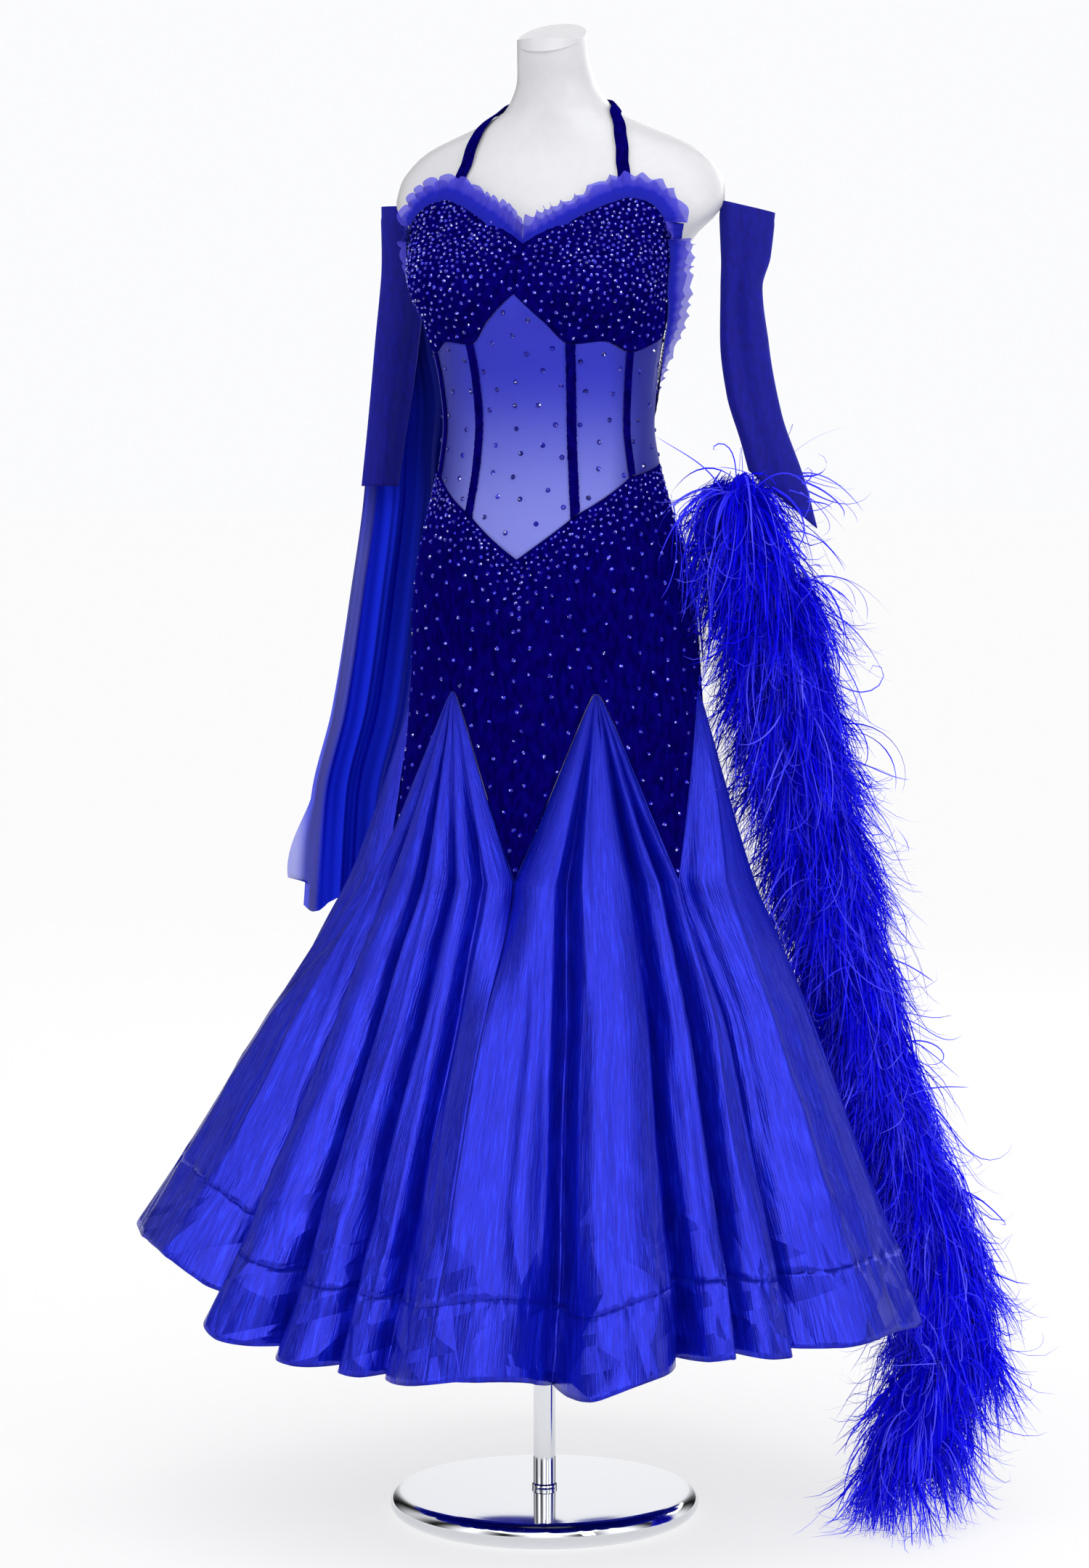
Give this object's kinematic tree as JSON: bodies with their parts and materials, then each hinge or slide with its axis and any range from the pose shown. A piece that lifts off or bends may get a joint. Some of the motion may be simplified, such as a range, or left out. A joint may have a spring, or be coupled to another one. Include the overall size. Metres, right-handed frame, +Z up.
{
  "type": "ballroom gown on dress form",
  "caption": "Halter ballroom gown with sheer midriff, velvet hips, flared satin godet skirt, detached sleeves and a feather boa, worn by a limbless dress form on a disc stand.",
  "frame": {"origin": "middle of the stand's underside, on the floor", "axes": "+Z up, -Y the gown's front, +X the wearer's left"},
  "size_m": [0.9469, 0.8258, 1.6015],
  "materials": {
    "velvet": "matte",
    "power_mesh": "matte",
    "satin": "satin",
    "stretch_jersey": "matte",
    "tulle": "matte",
    "chiffon": "matte",
    "feather": "matte",
    "white_shell": "gloss",
    "chrome": "polished"
  },
  "bodies": {
    "root": {"stand_base": "chrome", "stand_socket": "chrome", "stand_pole": "chrome", "dress_form": "white_shell", "cup_left": "velvet", "cup_right": "velvet", "midriff_centre": "power_mesh", "midriff_front_left": "power_mesh", "midriff_front_right": "power_mesh", "midriff_back_left": "power_mesh", "midriff_back_right": "power_mesh", "bone_front_left": "velvet", "bone_front_right": "velvet", "bone_side_left": "velvet", "bone_side_right": "velvet", "hip_front": "velvet", "hip_back_left": "velvet", "hip_back_right": "velvet", "ruffle_left": "tulle", "ruffle_right": "tulle", "strap_left": "velvet", "strap_right": "velvet", "sleeve_left": "stretch_jersey", "sleeve_right": "stretch_jersey", "float_right": "chiffon", "boa_left": "feather", "godet_front_left": "satin", "hem_band_front_left": "satin", "godet_side_left": "satin", "hem_band_side_left": "satin", "godet_back_left": "satin", "hem_band_back_left": "satin", "godet_back_right": "satin", "hem_band_back_right": "satin", "godet_side_right": "satin", "hem_band_side_right": "satin", "godet_front_right": "satin", "hem_band_front_right": "satin"}
  },
  "joints": []
}
